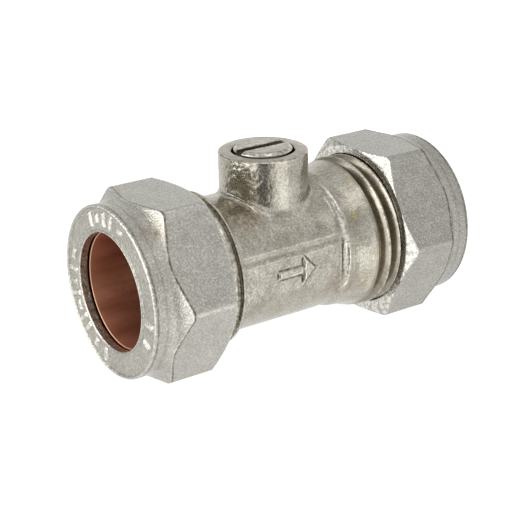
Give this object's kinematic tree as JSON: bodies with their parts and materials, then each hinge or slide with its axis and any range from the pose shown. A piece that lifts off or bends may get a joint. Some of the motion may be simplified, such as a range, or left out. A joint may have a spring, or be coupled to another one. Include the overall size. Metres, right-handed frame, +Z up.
{
  "type": "inline isolating valve",
  "caption": "Straight quarter-turn isolating ball valve with a slotted stem and a compression nut and olive at each end.",
  "frame": {"origin": "where the pipe axis crosses the stem axis, at the centre of the ball", "axes": "+X along the pipe axis from the left nut to the right nut, +Z up the stem axis out of the boss, +Y away from the panel with the arrow"},
  "size_m": [0.0501, 0.0262, 0.0262],
  "materials": {
    "nickel_body": "nickel-plated forged brass, satin with turned bright edges",
    "nickel_nut": "nickel-plated forged brass, fine shot-blasted grain",
    "nickel_stem": "nickel-plated turned brass",
    "chrome_ball": "polished chrome plate",
    "ptfe": "white PTFE",
    "brass": "machined brass",
    "copper": "turned copper, dull red-brown",
    "nitrile": "black nitrile rubber"
  },
  "bodies": {
    "valve_body": {"valve_body": "nickel_body", "seat_left": "ptfe", "seat_right": "ptfe", "seat_retainer": "brass", "stem_thrust_washer": "ptfe"},
    "stem": {"stem": "nickel_stem", "stem_o_ring_lower": "nitrile", "stem_o_ring_upper": "nitrile"},
    "ball": {"ball": "chrome_ball"},
    "olive_left": {"olive_left": "copper"},
    "nut_left": {"nut_left": "nickel_nut"},
    "olive_right": {"olive_right": "copper"},
    "nut_right": {"nut_right": "nickel_nut"}
  },
  "joints": [
    {"name": "stem_turn", "type": "hinge", "parent": "valve_body", "child": "stem", "pos_m": [0, 0, 0.011], "axis": [0, 0, -1], "range_deg": [0, 90]},
    {"name": "ball_turn", "type": "hinge", "parent": "valve_body", "child": "ball", "pos_m": [0, 0, 0], "axis": [0, 0, -1], "range_deg": [0, 90]},
    {"name": "nut_left_travel", "type": "slide", "parent": "valve_body", "child": "olive_left", "axis": [-1, 0, 0], "range_m": [0, 0.00544]},
    {"name": "nut_left_turn", "type": "hinge", "parent": "olive_left", "child": "nut_left", "pos_m": [-0.018, 0, 0], "axis": [-1, 0, 0], "range_deg": [0, 1080]},
    {"name": "nut_right_travel", "type": "slide", "parent": "valve_body", "child": "olive_right", "axis": [1, 0, 0], "range_m": [-0.00146, 0.00398]},
    {"name": "nut_right_turn", "type": "hinge", "parent": "olive_right", "child": "nut_right", "pos_m": [0.0205, 0, 0], "axis": [1, 0, 0], "range_deg": [-290, 790]}
  ],
  "couplings": [
    {"joint": "ball_turn", "follows": "stem_turn", "ratio": 1},
    {"joint": "nut_left_turn", "follows": "nut_left_travel", "rad_per_m": 3463.7},
    {"joint": "nut_right_turn", "follows": "nut_right_travel", "rad_per_m": 3463.7}
  ]
}
